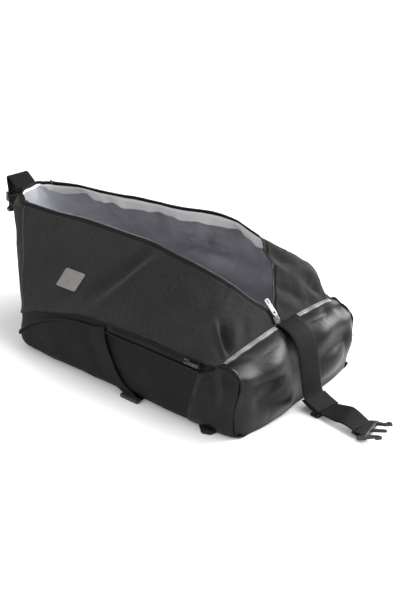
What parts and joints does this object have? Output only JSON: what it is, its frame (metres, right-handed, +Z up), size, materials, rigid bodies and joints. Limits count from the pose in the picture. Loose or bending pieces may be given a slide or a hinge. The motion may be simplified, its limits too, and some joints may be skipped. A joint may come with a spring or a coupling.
{
  "type": "shoe bag",
  "caption": "Roll-top sports shoe bag lying on its back with its long front zip open, coated base, side pockets, webbing straps and side-release buckle halves.",
  "frame": {"origin": "on the underside, in the middle of the bag's width, where the back panel rests", "axes": "+X toward the coated base, +Y to the far long side, +Z up out of the opening"},
  "size_m": [0.7464, 0.317, 0.2202],
  "materials": {
    "melange_cloth": "woven polyester melange with a soft nap",
    "nylon": "smooth plain nylon",
    "coated_cloth": "satin polyurethane coating",
    "webbing": "tight herringbone webbing",
    "lining": "thin plain polyester",
    "facing": "thin ribbed binding",
    "foam": "closed-cell foam",
    "board": "thin stiffener board",
    "piping": "coated piping",
    "reflective": "glass-bead reflective tape",
    "zip_tape": "woven zip tape",
    "zip_coil": "nylon coil",
    "slider_metal": "black coated die casting",
    "puller_metal": "satin plated",
    "buckle_plastic": "moulded acetal",
    "patch": "grey rubberised patch"
  },
  "bodies": {
    "bag": {"back_pad": "foam", "back_panel": "nylon", "base_lining": "lining", "base_panel": "coated_cloth", "base_stiffener": "board", "base_strap": "webbing", "far_arc_piping": "piping", "far_base_piping": "piping", "far_corner_panel": "coated_cloth", "far_corner_tab": "webbing", "far_ladder_lock": "buckle_plastic", "far_lower_panel": "nylon", "far_pocket_coil": "zip_coil", "far_side_panel": "melange_cloth", "far_side_strap": "webbing", "far_zip_band": "nylon", "far_zip_coil": "zip_coil", "far_zip_tape": "zip_tape", "label_patch": "patch", "lining": "lining", "near_arc_piping": "piping", "near_base_piping": "piping", "near_corner_panel": "coated_cloth", "near_corner_tab": "webbing", "near_ladder_lock": "buckle_plastic", "near_lower_panel": "nylon", "near_pocket_coil": "zip_coil", "near_side_panel": "melange_cloth", "near_side_strap": "webbing", "near_zip_band": "nylon", "near_zip_coil": "zip_coil", "near_zip_tape": "zip_tape", "reflective_strip": "reflective", "rim_facing": "facing", "strap_keeper": "webbing", "strap_tail": "webbing", "top_end_panel": "melange_cloth", "top_loop": "webbing", "tri_glide": "buckle_plastic", "zip_bottom_stop": "zip_coil", "zip_top_stops": "zip_coil"},
    "main_slider": {"main_slider": "puller_metal"},
    "main_puller": {"main_puller": "puller_metal"},
    "near_pocket_slider": {"near_pocket_slider": "slider_metal"},
    "near_pocket_puller": {"near_pocket_puller": "slider_metal"},
    "far_pocket_slider": {"far_pocket_slider": "slider_metal"},
    "far_pocket_puller": {"far_pocket_puller": "slider_metal"},
    "male_buckle": {"male_buckle": "buckle_plastic"},
    "female_buckle": {"female_buckle": "buckle_plastic"}
  },
  "joints": [
    {"name": "main_slider_slide", "type": "slide", "parent": "bag", "child": "main_slider", "axis": [-0.5433, 0, 0.8396], "range_m": [0, 0.0085]},
    {"name": "main_puller_hinge", "type": "hinge", "parent": "main_slider", "child": "main_puller", "pos_m": [0.1977, 0, 0.12331], "axis": [0, 1, 0], "range_deg": [0, 125]},
    {"name": "male_buckle_hinge", "type": "hinge", "parent": "bag", "child": "male_buckle", "pos_m": [0.36, -0.009, 0.0054], "axis": [0.1736, -0.9848, 0], "range_deg": [0, 60]},
    {"name": "female_buckle_hinge", "type": "hinge", "parent": "bag", "child": "female_buckle", "pos_m": [-0.33933, 0.0027, 0.1785], "axis": [0.1971, 0.9804, 0], "range_deg": [-30, 90]},
    {"name": "near_pocket_slide", "type": "slide", "parent": "bag", "child": "near_pocket_slider", "axis": [-1, 0, 0], "range_m": [0, 0.14]},
    {"name": "near_pocket_puller_hinge", "type": "hinge", "parent": "near_pocket_slider", "child": "near_pocket_puller", "pos_m": [0.1492, -0.1494, 0.1], "axis": [0, 0, -1], "range_deg": [0, 150]},
    {"name": "far_pocket_slide", "type": "slide", "parent": "bag", "child": "far_pocket_slider", "axis": [-1, 0, 0], "range_m": [0, 0.14]},
    {"name": "far_pocket_puller_hinge", "type": "hinge", "parent": "far_pocket_slider", "child": "far_pocket_puller", "pos_m": [0.1492, 0.1494, 0.1], "axis": [0, 0, 1], "range_deg": [0, 150]}
  ]
}
